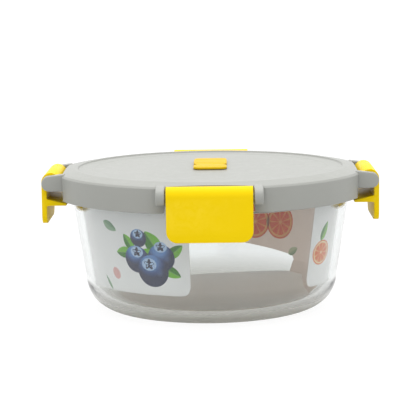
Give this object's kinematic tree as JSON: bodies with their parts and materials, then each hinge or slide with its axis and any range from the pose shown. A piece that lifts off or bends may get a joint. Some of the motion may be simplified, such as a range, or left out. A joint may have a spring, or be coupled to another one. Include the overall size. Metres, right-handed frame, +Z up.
{
  "type": "glass storage container",
  "caption": "Round glass food storage bowl with a plastic snap lid, hinged locking clips around it, a seal ring, a flexible steam vent and a printed card insert.",
  "frame": {"origin": "centre of the bowl's resting face", "axes": "+Z up, -Y towards the front clip, +X to the right seen from the front"},
  "size_m": [0.1892, 0.1892, 0.0812],
  "materials": {
    "clear_glass": "polished, clear",
    "grey_plastic": "fine satin moulding, warm light grey",
    "yellow_plastic": "smooth satin moulding, bright yellow",
    "yellow_silicone": "soft matt silicone, bright yellow",
    "clear_silicone": "soft translucent silicone",
    "printed_card": null
  },
  "bodies": {
    "container": {"glass_bowl": "clear_glass", "paper_insert": "printed_card"},
    "lid": {"lid": "grey_plastic", "seal_ring": "clear_silicone", "vent_anchor": "yellow_silicone"},
    "clip_front": {"clip_front": "yellow_plastic"},
    "clip_right": {"clip_right": "yellow_plastic"},
    "clip_back": {"clip_back": "yellow_plastic"},
    "clip_left": {"clip_left": "yellow_plastic"},
    "vent_flap": {"vent_flap": "yellow_silicone"}
  },
  "joints": [
    {"name": "lid_lift", "type": "slide", "parent": "container", "child": "lid", "axis": [0, 0, 1], "range_m": [0, 0.09]},
    {"name": "clip_front_hinge", "type": "hinge", "parent": "lid", "child": "clip_front", "pos_m": [0, -0.08976, 0.0744], "axis": [-1, 0, 0], "range_deg": [0, 125]},
    {"name": "clip_right_hinge", "type": "hinge", "parent": "lid", "child": "clip_right", "pos_m": [0.08976, 0, 0.0744], "axis": [0, -1, 0], "range_deg": [0, 125]},
    {"name": "clip_back_hinge", "type": "hinge", "parent": "lid", "child": "clip_back", "pos_m": [0, 0.08976, 0.0744], "axis": [1, 0, 0], "range_deg": [0, 125]},
    {"name": "clip_left_hinge", "type": "hinge", "parent": "lid", "child": "clip_left", "pos_m": [-0.08976, 0, 0.0744], "axis": [0, 1, 0], "range_deg": [0, 125]},
    {"name": "vent_flap_hinge", "type": "hinge", "parent": "lid", "child": "vent_flap", "pos_m": [0, 0.001, 0.0812], "axis": [1, 0, 0], "range_deg": [0, 80]}
  ]
}
